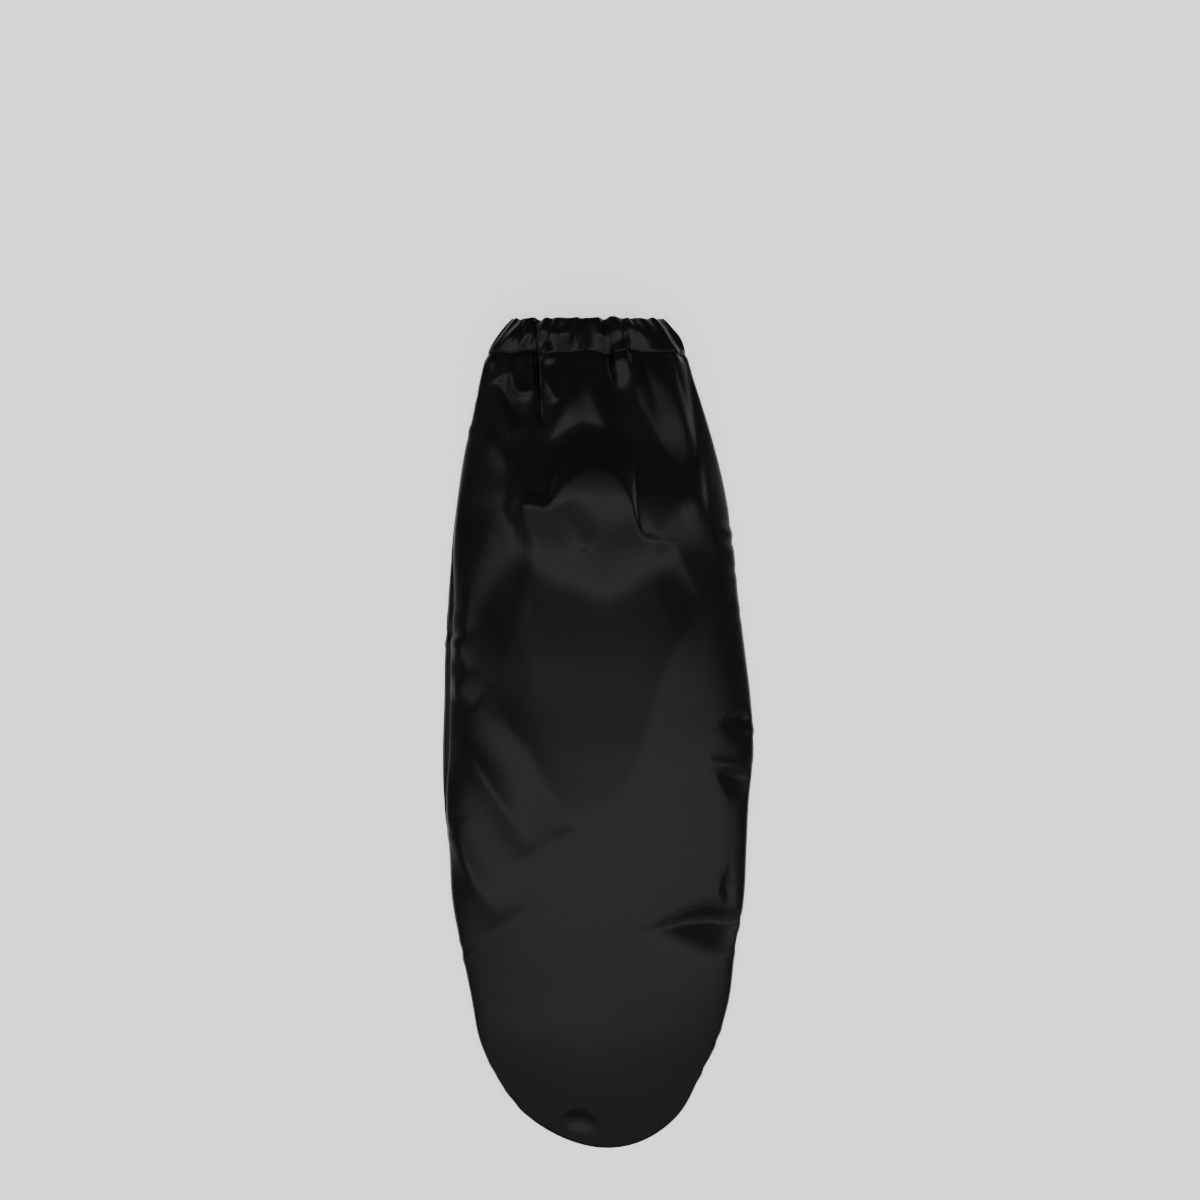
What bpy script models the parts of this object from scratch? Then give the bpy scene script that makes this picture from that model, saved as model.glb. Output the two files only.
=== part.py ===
"""Satin sleep cap: a long hair sleeve that lies on its back, as it is laid down empty.

Two cloth panels are sewn together along the sides and round the tip. At the mouth an elastic
casing gathers them. The sleeve is one smooth hollow form, and every piece is a part of it:
its place is worked out from a turn round the sleeve and a share of its length.

Metres, +Z up, mouth towards +Y, tip towards -Y. The origin is on the floor under the middle.
A turn of 0 is the left seam, 0.25 the top, 0.5 the right seam and 0.75 the underside.
"""

import math

import bmesh
import bpy
import numpy as np

# Sizes of the whole cap
CAP_LENGTH = 0.500
CAP_WIDTH = 0.189
CAP_LOFT = 0.030
ROUND_END_LENGTH = 0.075
SEAM_HEIGHT = 0.0042
EDGE_ROLL = 0.014
TUCK_DEPTH = 0.0030

# Sizes of the gathered mouth
MOUTH_WIDTH = 0.107
MOUTH_HEIGHT = 0.025
CASING_DEPTH = 0.0215
CASING_WALL = 0.0040
NECK_LENGTH = 0.075

# Cloth, seams and gaps
CLOTH = 0.0012
SEAM_LIP = 0.0010
JOIN_GAP = 0.0003

# Depths of the folds
GATHER_DEPTH = 0.0038
FOLD_HEIGHT = 0.0045
RUFFLE_DEPTH = 0.0009
SCALLOP_DEPTH = 0.0030
RUFFLES = 21

# Mesh steps
FRONT_COLUMNS = 32
BACK_COLUMNS = 24
STRAIGHT_ROWS = 25
ROUND_ROWS = 7
CASING_STEPS = 120
SEAM_NUDGE = 1e-6
SLOPE_STEP = 0.002

# A higher power keeps the top level for longer before it rolls over the edge
TOP_POWER = 2.6

# One row for each section. along: share of the cap's length from the mouth. spread: how far the
# half width has grown from the mouth's (0) to the cap's (1). lean: the middle's drift sideways,
# as a share of half the cap's width. crown and seam: shares of the loft and of the seam's height.
# tuck: how far the left seam lies in on top, as a share of the tuck's depth.
SECTION_COLUMNS = ("along", "spread", "lean", "crown", "seam", "tuck")
SECTIONS = (
    (0.000, -0.16, -0.064, 0.80, 1.00, 0.0),
    (0.016, -0.02, -0.061, 0.80, 1.00, 0.0),
    (0.048, 0.21, -0.074, 0.84, 1.00, 0.0),
    (0.072, 0.29, -0.071, 0.88, 0.97, 0.0),
    (0.105, 0.39, -0.060, 0.92, 0.95, 0.0),
    (0.155, 0.54, -0.051, 0.90, 1.00, 0.0),
    (0.215, 0.68, -0.039, 1.00, 0.90, 0.0),
    (0.280, 0.78, -0.035, 0.98, 0.95, 0.3),
    (0.340, 0.84, -0.029, 0.93, 1.05, 1.0),
    (0.400, 0.91, -0.019, 0.91, 0.95, 1.0),
    (0.460, 0.96, -0.003, 0.88, 0.85, 1.0),
    (0.520, 0.99, 0.001, 0.84, 0.90, 1.1),
    (0.580, 0.95, -0.012, 0.79, 1.05, 0.5),
    (0.640, 0.89, -0.001, 0.73, 1.00, 0.0),
    (0.700, 0.85, 0.000, 0.68, 0.90, 0.0),
    (0.760, 0.72, 0.002, 0.63, 0.85, 0.0),
    (0.820, 0.60, 0.015, 0.58, 0.90, 0.0),
    (0.870, 0.47, 0.004, 0.54, 0.95, 0.0),
    (0.920, 0.35, 0.003, 0.50, 1.00, 0.0),
    (0.965, 0.35, 0.030, 0.47, 1.00, 0.0),
    (1.000, 0.28, 0.062, 0.46, 1.00, 0.0),
)

# Creases that the elastic pulls into the cloth. across: place between the side seams, -1 to 1.
# width: share of half the mouth's width. depth: share of the gather's depth, raised if negative.
# reach: share of the cap's length over which the crease dies out.
GATHER_COLUMNS = ("across", "width", "depth", "reach")
FRONT_GATHERS = (
    (-0.84, 0.110, -0.60, 0.060),
    (-0.64, 0.050, 0.60, 0.040),
    (-0.49, 0.055, 1.10, 0.110),
    (-0.27, 0.130, -0.55, 0.070),
    (-0.09, 0.060, 0.55, 0.050),
    (0.06, 0.090, -0.30, 0.040),
    (0.22, 0.055, 0.70, 0.080),
    (0.42, 0.110, -0.50, 0.055),
    (0.57, 0.045, 0.50, 0.060),
    (0.72, 0.080, -0.45, 0.100),
    (0.86, 0.055, 0.85, 0.045),
)
BACK_GATHERS = (
    (-0.80, 0.070, 0.55, 0.060),
    (-0.58, 0.110, -0.30, 0.070),
    (-0.38, 0.060, 0.60, 0.090),
    (-0.14, 0.110, -0.30, 0.050),
    (0.08, 0.065, 0.50, 0.080),
    (0.30, 0.110, -0.30, 0.060),
    (0.50, 0.060, 0.65, 0.090),
    (0.76, 0.085, 0.45, 0.060),
)

# Folds and dents in the front panel. across, along: the middle of the fold. turn: degrees from the
# cap's length, towards +X. length, width: shares of the cap's length and width. height: share of
# the fold's height, negative for a dent.
FOLD_COLUMNS = ("across", "along", "turn", "length", "width", "height")
FRONT_FOLDS = (
    (-0.16, 0.168, 82, 0.060, 0.100, -0.75),
    (-0.14, 0.098, 80, 0.055, 0.070, 0.45),
    (0.42, 0.090, 10, 0.045, 0.110, 0.50),
    (0.52, 0.190, 60, 0.060, 0.120, -0.45),
    (-0.72, 0.110, 28, 0.055, 0.050, -0.55),
    (0.02, 0.225, 86, 0.080, 0.160, 0.75),
    (0.28, 0.375, 65, 0.120, 0.180, -0.55),
    (-0.62, 0.400, 6, 0.120, 0.060, -0.50),
    (-0.72, 0.555, 32, 0.080, 0.055, 0.70),
    (-0.76, 0.625, 34, 0.080, 0.050, -0.85),
    (-0.84, 0.690, 30, 0.050, 0.045, 0.45),
    (-0.14, 0.590, 70, 0.100, 0.150, -0.40),
    (0.93, 0.495, 80, 0.030, 0.050, -0.70),
    (0.93, 0.560, 70, 0.034, 0.050, -0.75),
    (0.72, 0.742, 84, 0.055, 0.055, -0.90),
    (0.78, 0.712, 80, 0.050, 0.045, 0.50),
    (-0.10, 0.968, 90, 0.035, 0.045, -0.35),
)

# The casing's own section. depth: share of its depth from the stitches to the mouth's edge.
# out: share of half its wall, out from the middle of the sleeve's wall.
CASING_COLUMNS = ("depth", "out")
CASING_PROFILE = (
    (0.00, 0.60),
    (0.22, 0.95),
    (0.60, 1.00),
    (0.93, 0.65),
    (1.00, 0.00),
    (0.93, -0.65),
    (0.60, -1.00),
    (0.22, -0.95),
    (0.00, -0.60),
)

SATIN_BLACK = (0.011, 0.011, 0.012, 1.0)
SATIN_ROUGHNESS = 0.34


def column(table, names, name):
    """One named column of a table, as an array."""
    return np.array([row[names.index(name)] for row in table], float)


def follow(places, values, at):
    """A smooth curve through the values: cubic pieces whose slopes come from their neighbours."""
    slopes = np.gradient(values, places)
    k = np.clip(np.searchsorted(places, at) - 1, 0, len(places) - 2)
    step = places[k + 1] - places[k]
    t = np.clip((at - places[k]) / step, 0.0, 1.0)
    from_start = values[k] * (2 * t**3 - 3 * t**2 + 1) + slopes[k] * step * (t**3 - 2 * t**2 + t)
    to_end = values[k + 1] * (3 * t**2 - 2 * t**3) + slopes[k + 1] * step * (t**3 - t**2)
    return from_start + to_end


def section_value(name, along):
    places = column(SECTIONS, SECTION_COLUMNS, "along")
    return follow(places, column(SECTIONS, SECTION_COLUMNS, name), along)


def ease(share):
    """Goes from 0 to 1 with level ends."""
    t = np.clip(share, 0.0, 1.0)
    return t * t * (3 - 2 * t)


def past_casing(along):
    """Metres from the casing's stitches towards the tip."""
    return along * CAP_LENGTH - CASING_DEPTH


def mouth_blend(sleeve, mouth, along):
    """The mouth's value at the casing, which becomes the sleeve's where the neck ends."""
    share = 1 - ease(past_casing(along) / NECK_LENGTH)
    return sleeve * (1 - share) + mouth * share


def round_share(along):
    """0 along the sides, and up to 1 at the tip."""
    return np.clip(1 - (1 - along) * CAP_LENGTH / ROUND_END_LENGTH, 0.0, 1.0)


def across_of(turn):
    """Place between the left seam (-1) and the right seam (1)."""
    return -np.cos(2 * np.pi * turn)


def is_front(turn):
    return np.mod(turn, 1.0) < 0.5


def section_place(turn, along, lip):
    """(x, z) of the middle of the wall, before its creases and folds.

    The top rolls over like an ellipse of a high power. The underside is level, and each of its
    edges rolls up as part of an ellipse: a quarter of it, or more where the seam is tucked in.
    lip is half the height that is left free between the panels at the seam.
    """
    across = across_of(turn)
    tip = round_share(along)
    half_wall = mouth_blend(CLOTH, CASING_WALL, along) / 2
    mouth_half = MOUTH_WIDTH / 2
    half = mouth_half + section_value("spread", along) * (CAP_WIDTH / 2 - mouth_half) - half_wall
    half = half * np.sqrt(1 - tip**2)
    middle = section_value("lean", along) * CAP_WIDTH / 2
    rim = np.minimum(np.sqrt((1 - tip**2) * across**2 + tip**2), 1.0)
    seam = mouth_blend(section_value("seam", along) * SEAM_HEIGHT, MOUTH_HEIGHT / 2, along)
    sleeve_crown = section_value("crown", along) * CAP_LOFT
    crown = mouth_blend(sleeve_crown, MOUTH_HEIGHT, along) - half_wall
    tuck = np.where(across < 0, section_value("tuck", along) * TUCK_DEPTH, 0.0)
    tuck = np.maximum(tuck, 0.0)

    top_x = middle + half * across + tuck * across**2
    top_z = seam + lip + (crown - seam - lip) * np.sqrt(1 - rim**TOP_POWER)

    level = 1 - EDGE_ROLL / (CAP_WIDTH / 2)
    roll = np.arcsin(np.clip((rim - level) / (1 - level), 0.0, 1.0))
    past_upright = np.arccos(1 - tuck / EDGE_ROLL)
    angle = roll * (1 + past_upright / (np.pi / 2))
    beyond = EDGE_ROLL * (np.sin(angle) - np.sin(roll))
    rise = (seam - lip - half_wall) / (1 + np.sin(past_upright))
    under_x = middle + half * across + np.sign(across) * beyond
    under_z = half_wall + rise * (1 - np.cos(angle))
    front = is_front(turn)
    return np.where(front, top_x, under_x), np.where(front, top_z, under_z)


def outward(turn, along):
    """The sideways and upward parts of the direction out of the sleeve."""
    x_before, z_before = section_place(turn - SLOPE_STEP, along, 0.0)
    x_after, z_after = section_place(turn + SLOPE_STEP, along, 0.0)
    dx, dz = x_after - x_before, z_after - z_before
    size = np.maximum(np.hypot(dx, dz), 1e-9)
    return -dz / size, dx / size


def pressed(table, turn, along):
    """How deep the elastic's creases are, as a share of the gather's depth."""
    reached = np.maximum(past_casing(along), 0.0) / CAP_LENGTH
    total = np.zeros_like(turn)
    for row in table:
        crease = dict(zip(GATHER_COLUMNS, row))
        beside = (across_of(turn) - crease["across"]) / crease["width"]
        total += crease["depth"] * np.exp(-(beside**2) - (reached / crease["reach"]) ** 2)
    return total


def gathers(turn, along):
    """Share of the gather's depth by which the wall is pressed in."""
    front = pressed(FRONT_GATHERS, turn, along)
    return np.where(is_front(turn), front, pressed(BACK_GATHERS, turn, along))


def folds(turn, along):
    """Share of the fold's height by which the front panel stands out."""
    total = np.zeros_like(turn)
    for row in FRONT_FOLDS:
        fold = dict(zip(FOLD_COLUMNS, row))
        right = (across_of(turn) - fold["across"]) * CAP_WIDTH / 2
        down = (along - fold["along"]) * CAP_LENGTH
        angle = math.radians(fold["turn"])
        lengthwise = down * math.cos(angle) + right * math.sin(angle)
        sideways = right * math.cos(angle) - down * math.sin(angle)
        lengthwise = lengthwise / (fold["length"] * CAP_LENGTH)
        sideways = sideways / (fold["width"] * CAP_WIDTH)
        total += fold["height"] * np.exp(-(lengthwise**2) - sideways**2)
    total *= ease(past_casing(along) / CASING_DEPTH)
    return np.where(is_front(turn), total, 0.0)


def ruffles(turn, along):
    """Small waves of the casing, which grow from its stitches to its edge, from -1 to 1."""
    grown = ease(-past_casing(along) / CASING_DEPTH)
    uneven = 1.3 * np.sin(2 * np.pi * 3 * turn) + 0.8 * np.cos(2 * np.pi * 2 * turn)
    return grown * np.sin(2 * np.pi * RUFFLES * turn + uneven)


def sleeve_point(turn, along, lip):
    """Points on the middle of the wall, with its creases and folds, as (x, y, z) arrays."""
    turn, along = np.broadcast_arrays(turn, along)
    x, z = section_place(turn, along, lip)
    out_x, out_z = outward(turn, along)
    free = (1 - across_of(turn) ** 6) * (1 - round_share(along) ** 4)
    moved = FOLD_HEIGHT * folds(turn, along) - GATHER_DEPTH * gathers(turn, along)
    moved = moved * free + RUFFLE_DEPTH * ruffles(turn, along)
    floor = mouth_blend(CLOTH, CASING_WALL, along) / 2
    y = CAP_LENGTH / 2 - along * (CAP_LENGTH - CLOTH / 2)
    return x + out_x * moved, y, np.maximum(z + out_z * moved, floor)


def panel_rows():
    """Places of the rows along the cap, close together at the casing and round the tip."""
    first = (CASING_DEPTH + JOIN_GAP + SEAM_LIP) / CAP_LENGTH
    last = 1 - ROUND_END_LENGTH / CAP_LENGTH
    straight = first + (last - first) * np.linspace(0, 1, STRAIGHT_ROWS + 1) ** 1.3
    bend = np.sin(np.linspace(0, math.pi / 2, ROUND_ROWS + 1))[1:]
    return np.concatenate([straight, last + (1 - last) * bend])


def satin():
    material = bpy.data.materials.new("black_satin")
    material.use_nodes = True
    shader = material.node_tree.nodes["Principled BSDF"]
    shader.inputs["Base Color"].default_value = SATIN_BLACK
    shader.inputs["Roughness"].default_value = SATIN_ROUGHNESS
    shader.inputs["Metallic"].default_value = 0.0
    shader.inputs["Sheen Weight"].default_value = 0.2
    return material


def grid_of(points):
    """A bmesh grid whose corners take the places of an array of rows and columns."""
    rows, columns = points.shape[0] - 1, points.shape[1] - 1
    grid = bmesh.new()
    bmesh.ops.create_grid(grid, x_segments=columns, y_segments=rows, size=1.0)
    for corner in grid.verts:
        row = round((1 - corner.co.y) / 2 * rows)
        place = round((corner.co.x + 1) / 2 * columns)
        corner.co = points[row, place]
    bmesh.ops.remove_doubles(grid, verts=grid.verts, dist=1e-6)
    return grid


def add_lip(panel, edges, move):
    """A narrow straight edge on the panel, so that it meets its neighbour squarely."""
    new = bmesh.ops.extrude_edge_only(panel, edges=edges)
    corners = [item for item in new["geom"] if isinstance(item, bmesh.types.BMVert)]
    bmesh.ops.translate(panel, verts=corners, vec=move)


def finished(shape, name, collection, material):
    """A smooth-shaded object made from the bmesh."""
    bmesh.ops.recalc_face_normals(shape, faces=shape.faces)
    mesh = bpy.data.meshes.new(name)
    shape.to_mesh(mesh)
    shape.free()
    mesh.shade_smooth()
    mesh.materials.append(material)
    piece = bpy.data.objects.new(name, mesh)
    collection.objects.link(piece)
    return piece


def build_panel(name, first_turn, columns, lip_towards, collection, material):
    """One cloth panel, from seam to seam and from the casing to the tip."""
    turns = first_turn + np.linspace(SEAM_NUDGE, 0.5 - SEAM_NUDGE, columns + 1)
    turn, along = np.meshgrid(turns, panel_rows())
    points = np.stack(sleeve_point(turn, along, SEAM_LIP + JOIN_GAP / 2), axis=-1)
    panel = grid_of(points)
    mouth_y = points[0, 0, 1]
    rim = [edge for edge in panel.edges if edge.is_boundary]
    seam = [edge for edge in rim if min(v.co.y for v in edge.verts) < mouth_y - SEAM_NUDGE]
    add_lip(panel, seam, (0, 0, lip_towards * SEAM_LIP))
    rim = [edge for edge in panel.edges if edge.is_boundary]
    mouth = [edge for edge in rim if min(v.co.y for v in edge.verts) > mouth_y - SEAM_NUDGE]
    add_lip(panel, mouth, (0, SEAM_LIP, 0))
    piece = finished(panel, name, collection, material)
    wall = piece.modifiers.new("cloth", "SOLIDIFY")
    wall.thickness = CLOTH
    wall.offset = 0.0
    return piece


def build_casing(name, collection, material):
    """The folded hem with the elastic inside, one gathered ring round the mouth."""
    turns = np.linspace(0, 1, CASING_STEPS + 1)
    turns[-1] = 0.0
    depth = column(CASING_PROFILE, CASING_COLUMNS, "depth")
    out = column(CASING_PROFILE, CASING_COLUMNS, "out") * CASING_WALL / 2
    closed = np.append(np.arange(len(depth)), 0)
    turn, depth = np.meshgrid(turns, depth[closed])
    out = np.broadcast_to(out[closed][:, None], turn.shape)
    along = (1 - depth) * CASING_DEPTH / CAP_LENGTH
    x, y, z = sleeve_point(turn, along, 0.0)
    out_x, out_z = outward(turn, along)
    y = y - SCALLOP_DEPTH * depth**2 * np.clip(gathers(turn, along), 0.0, 1.0)
    ring = grid_of(np.stack([x + out_x * out, y, np.maximum(z + out_z * out, 0.0)], axis=-1))
    return finished(ring, name, collection, material)


def main():
    for old in list(bpy.data.objects):
        bpy.data.objects.remove(old)
    collection = bpy.data.collections.new("sleep_cap")
    bpy.context.scene.collection.children.link(collection)
    material = satin()
    build_panel("front_panel", 0.0, FRONT_COLUMNS, -1, collection, material)
    build_panel("back_panel", 0.5, BACK_COLUMNS, 1, collection, material)
    build_casing("elastic_casing", collection, material)


main()
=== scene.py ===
"""Dresses the satin sleep cap: two panels, the gathered casing, its stitches and a studio.

Metres, in the frame's own axes: the mouth towards +Y, the tip towards -Y and +Z up. A turn round
the sleeve is 0 at the left seam, 0.25 on top, 0.5 at the right seam and 0.75 underneath, and a
share along it is 0 at the mouth's edge and 1 at the tip.
"""

import logging
import math
from dataclasses import dataclass, field
from enum import Enum
from typing import Sequence

import bmesh
import bpy
import numpy as np
from mathutils import Matrix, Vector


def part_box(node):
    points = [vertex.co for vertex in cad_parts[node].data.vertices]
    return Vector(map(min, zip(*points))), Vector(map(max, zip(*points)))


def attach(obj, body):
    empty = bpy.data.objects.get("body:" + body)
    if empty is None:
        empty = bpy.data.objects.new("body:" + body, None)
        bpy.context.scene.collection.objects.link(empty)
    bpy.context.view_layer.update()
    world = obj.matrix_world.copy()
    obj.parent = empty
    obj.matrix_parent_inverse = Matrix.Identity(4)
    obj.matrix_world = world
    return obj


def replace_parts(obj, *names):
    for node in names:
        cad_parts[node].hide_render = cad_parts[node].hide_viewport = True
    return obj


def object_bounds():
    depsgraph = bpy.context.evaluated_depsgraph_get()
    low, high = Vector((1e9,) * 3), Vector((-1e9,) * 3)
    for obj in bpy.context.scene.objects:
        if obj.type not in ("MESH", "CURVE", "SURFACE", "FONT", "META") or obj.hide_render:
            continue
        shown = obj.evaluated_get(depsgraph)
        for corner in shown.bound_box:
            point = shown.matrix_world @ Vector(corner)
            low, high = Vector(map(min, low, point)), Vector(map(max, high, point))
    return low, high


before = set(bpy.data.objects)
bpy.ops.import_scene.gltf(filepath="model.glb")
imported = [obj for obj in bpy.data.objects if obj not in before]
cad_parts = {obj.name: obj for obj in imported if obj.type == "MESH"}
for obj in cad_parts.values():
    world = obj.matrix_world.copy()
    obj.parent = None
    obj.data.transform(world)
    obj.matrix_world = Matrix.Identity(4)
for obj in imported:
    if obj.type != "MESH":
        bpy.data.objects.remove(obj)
CAD_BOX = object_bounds()

log = logging.getLogger("sleep_cap")

Points = np.ndarray
Place = tuple[float, float]
MM = 0.001


class Layer(Enum):
    """The two panels, each with its node and the turn where it starts."""

    FRONT = ("front_panel", 0.0)
    BACK = ("back_panel", 0.5)

    def __init__(self, node: str, first_turn: float) -> None:
        """Keeps the panel's node and its first turn."""
        self.node, self.first_turn = node, first_turn


@dataclass(frozen=True)
class Section:
    """One section of the sleeve, in shares of the sleeve's sizes.

    spread is how far it has widened from the mouth, lean how far its middle stands aside, crown
    its height, seam the height of its seams and tuck how far the left one is tucked in.
    """

    along: float
    spread: float
    lean: float
    crown: float
    seam: float
    tuck: float


@dataclass(frozen=True)
class Crease:
    """One crease that the elastic pulls into the cloth; raised where its depth is negative."""

    across: float
    width: float
    depth: float
    reach: float


@dataclass(frozen=True)
class Ridge:
    """A ridge, or a valley if its height is negative, along a smooth line on the front panel.

    path holds its (side, along) places: side is a share of half the cap's width. left and right
    are its widths, in shares of the cap's width, on either hand as one walks along the path.
    round is how blunt its crest is, as a share of its width, and taper is how soon the height
    dies out towards both ends.
    """

    path: tuple[Place, ...]
    height: float
    left: float
    right: float
    round: float = 0.25
    taper: float = 0.5


@dataclass(frozen=True)
class Facet:
    """A stretch of cloth that falls towards the tip, between a top edge and a foot.

    top and foot hold (side, along) places whose sides rise. The foot starts at the top edge's
    first place, which isn't repeated, and ends at its last one or at the rim. lean is its slope,
    and back the slope on the far side of its top edge. Where lean is below nought the stretch
    rises towards the tip out of a dent, whose deepest line is the top edge. round_top and
    round_foot are how far either edge is rounded, in millimetres.
    """

    top: tuple[Place, ...]
    foot: tuple[Place, ...]
    lean: float
    back: float
    round_top: float
    round_foot: float


@dataclass(frozen=True)
class Bulge:
    """A puff of the gathered casing: a bell round one place of it, in millimetres."""

    across: float
    depth: float
    wide: float
    deep: float
    height: float


SECTIONS = (
    Section(0.000, -0.16, -0.064, 0.80, 1.00, 0.0),
    Section(0.016, -0.02, -0.061, 0.80, 1.00, 0.0),
    Section(0.048, 0.21, -0.074, 0.84, 1.00, 0.0),
    Section(0.072, 0.29, -0.071, 0.88, 0.97, 0.0),
    Section(0.105, 0.39, -0.060, 0.92, 0.95, 0.0),
    Section(0.155, 0.54, -0.051, 0.90, 1.00, 0.0),
    Section(0.215, 0.68, -0.039, 1.00, 0.90, 0.0),
    Section(0.280, 0.78, -0.035, 0.98, 0.95, 0.3),
    Section(0.340, 0.84, -0.029, 0.955, 1.05, 1.0),
    Section(0.400, 0.91, -0.019, 0.925, 0.95, 1.0),
    Section(0.460, 0.96, -0.003, 0.88, 0.85, 1.0),
    Section(0.520, 0.99, 0.001, 0.84, 0.90, 1.1),
    Section(0.580, 0.95, -0.012, 0.79, 1.05, 0.5),
    Section(0.640, 0.89, -0.001, 0.73, 1.00, 0.0),
    Section(0.700, 0.85, 0.000, 0.68, 0.90, 0.0),
    Section(0.760, 0.72, 0.002, 0.63, 0.85, 0.0),
    Section(0.820, 0.60, 0.015, 0.58, 0.90, 0.0),
    Section(0.870, 0.47, 0.004, 0.54, 0.95, 0.0),
    Section(0.920, 0.35, 0.003, 0.50, 1.00, 0.0),
    Section(0.965, 0.35, 0.030, 0.47, 1.00, 0.0),
    Section(1.000, 0.28, 0.062, 0.46, 1.00, 0.0),
)

FRONT_CREASES = (
    Crease(-0.84, 0.110, -0.20, 0.060),
    Crease(-0.64, 0.050, 0.60, 0.040),
    Crease(-0.49, 0.055, 0.55, 0.110),
    Crease(-0.27, 0.130, -0.55, 0.070),
    Crease(-0.09, 0.060, 0.55, 0.050),
    Crease(0.06, 0.090, -0.30, 0.040),
    Crease(0.22, 0.055, 0.70, 0.080),
    Crease(0.42, 0.110, -0.50, 0.055),
    Crease(0.57, 0.045, 0.50, 0.060),
    Crease(0.74, 0.090, -0.12, 0.090),
    Crease(0.87, 0.070, 0.06, 0.045),
)
BACK_CREASES = (
    Crease(-0.80, 0.070, 0.55, 0.060),
    Crease(-0.58, 0.110, -0.30, 0.070),
    Crease(-0.38, 0.060, 0.60, 0.090),
    Crease(-0.14, 0.110, -0.30, 0.050),
    Crease(0.08, 0.065, 0.50, 0.080),
    Crease(0.30, 0.110, -0.30, 0.060),
    Crease(0.50, 0.060, 0.65, 0.090),
    Crease(0.76, 0.085, 0.45, 0.060),
)

RIDGES = (
    Ridge(
        ((-0.397, 0.002), (-0.40, 0.034), (-0.392, 0.07), (-0.35, 0.13)),
        -0.52, 0.006, 0.007, 0.3, 0.2,
    ),
    Ridge(((-0.48, 0.002), (-0.474, 0.028)), -0.26, 0.006, 0.007, 0.3, 0.3),
    Ridge(((0.155, 0.006), (0.165, 0.04)), -0.20, 0.006, 0.008, 0.3, 0.3),
    Ridge(((0.195, 0.012), (0.205, 0.046)), -0.22, 0.008, 0.006, 0.3, 0.3),
    Ridge(((0.43, 0.014), (0.49, 0.03), (0.53, 0.052)), -0.28, 0.008, 0.01, 0.3, 0.3),
    Ridge(
        ((-0.56, 0.044), (-0.545, 0.066), (-0.50, 0.088), (-0.43, 0.086), (-0.405, 0.06)),
        0.40, 0.013, 0.016, 0.4,
    ),
    Ridge(((-0.64, 0.075), (-0.58, 0.098), (-0.50, 0.13)), -0.36, 0.03, 0.016),
    Ridge(((-0.36, 0.066), (-0.31, 0.08), (-0.26, 0.102)), 0.30, 0.01, 0.014),
    Ridge(((-0.22, 0.228), (-0.15, 0.25), (-0.07, 0.28)), -0.26, 0.024, 0.024, 0.6),
    Ridge(((-0.92, 0.382), (-0.905, 0.397), (-0.92, 0.412)), 0.42, 0.02, 0.02, 0.6),
    Ridge(((-0.92, 0.432), (-0.90, 0.445), (-0.91, 0.458)), 0.42, 0.02, 0.02, 0.6),
    Ridge(((-0.77, 0.462), (-0.50, 0.506), (-0.34, 0.56), (-0.20, 0.616)), 0.22, 0.04, 0.044, 0.9),
    Ridge(
        ((-0.90, 0.504), (-0.75, 0.54), (-0.61, 0.584), (-0.43, 0.641)),
        0.44, 0.034, 0.036, 0.5, 0.7,
    ),
    Ridge(
        ((-0.96, 0.607), (-0.87, 0.642), (-0.77, 0.682), (-0.63, 0.726)),
        0.64, 0.048, 0.036, 0.4, 0.7,
    ),
    Ridge(((0.70, 0.534), (0.84, 0.538), (0.98, 0.541)), 0.20, 0.016, 0.012, 0.5),
)
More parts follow.
